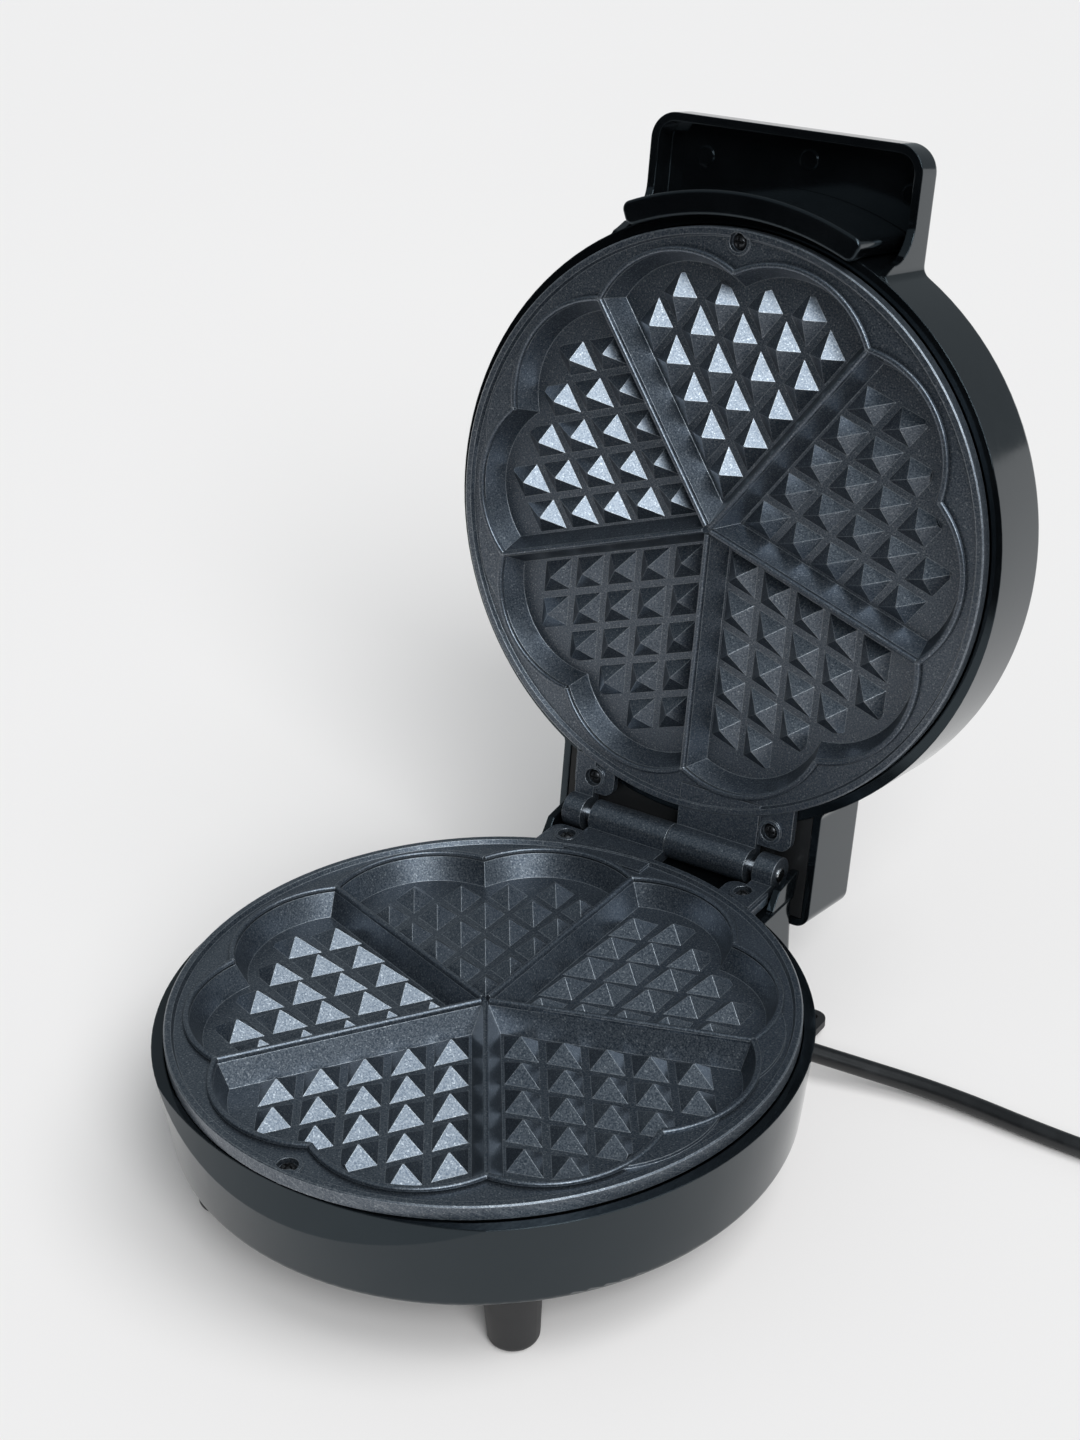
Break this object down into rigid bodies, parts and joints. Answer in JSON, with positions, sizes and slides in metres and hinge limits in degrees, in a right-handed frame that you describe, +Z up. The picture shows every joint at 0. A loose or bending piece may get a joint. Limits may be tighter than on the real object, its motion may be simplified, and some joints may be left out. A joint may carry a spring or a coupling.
{
  "type": "waffle maker",
  "caption": "Round tabletop waffle maker standing open: heart-patterned plates hinged at the rear, front handle, feet, and a coiled mains lead.",
  "frame": {"origin": "on the table under the middle of the open appliance's bounding box, cord left out", "axes": "+Z up, -Y the front where the handle closes, +Y the hinge side, +X along the hinge to the right seen from the front"},
  "size_m": [0.482, 0.2858, 0.2883],
  "materials": {
    "shell": "glossy black moulded plastic",
    "matte_black": "matt black moulded plastic",
    "coating": "dark blue-black speckled non-stick coating",
    "steel": "bright screw steel",
    "dark_steel": "darkened steel tube",
    "bright_sheet": "mill-finish sheet",
    "white_plastic": "off-white insulating plastic",
    "wire": "woven sleeve on the leads",
    "lens": "clear red lens",
    "cord": "black flexible cord jacket",
    "brass": "plated contact metal"
  },
  "bodies": {
    "base": {"base_shell": "shell", "lower_plate": "coating", "lower_plate_screws": "steel", "hinge_pin": "steel", "lower_element": "dark_steel", "lower_element_bracket": "steel", "lower_clamp_screws": "steel", "lower_reflector": "bright_sheet", "thermal_fuse": "white_plastic", "terminal_block": "white_plastic", "cord_clamp": "matte_black", "base_wiring": "wire", "front_feet": "matte_black", "rear_feet": "matte_black", "strain_relief": "matte_black", "power_cord": "cord", "cord_coil": "cord", "plug_body": "cord", "plug_pins": "brass", "plug_earth_clips": "brass"},
    "lid": {"lid_shell": "shell", "lid_lip": "matte_black", "lid_rear_cover": "matte_black", "rear_cover_screws": "steel", "upper_plate": "coating", "upper_plate_screws": "steel", "upper_element": "dark_steel", "upper_element_bracket": "steel", "upper_clamp_screws": "steel", "upper_reflector": "bright_sheet", "thermostat": "bright_sheet", "pilot_lamps": "lens", "lamp_holder": "white_plastic", "lid_wiring": "wire"}
  },
  "joints": [
    {"name": "lid_hinge", "type": "hinge", "parent": "base", "child": "lid", "pos_m": [0, 0.0662, 0.059], "axis": [1, 0, 0], "range_deg": [0, 99.65]}
  ]
}
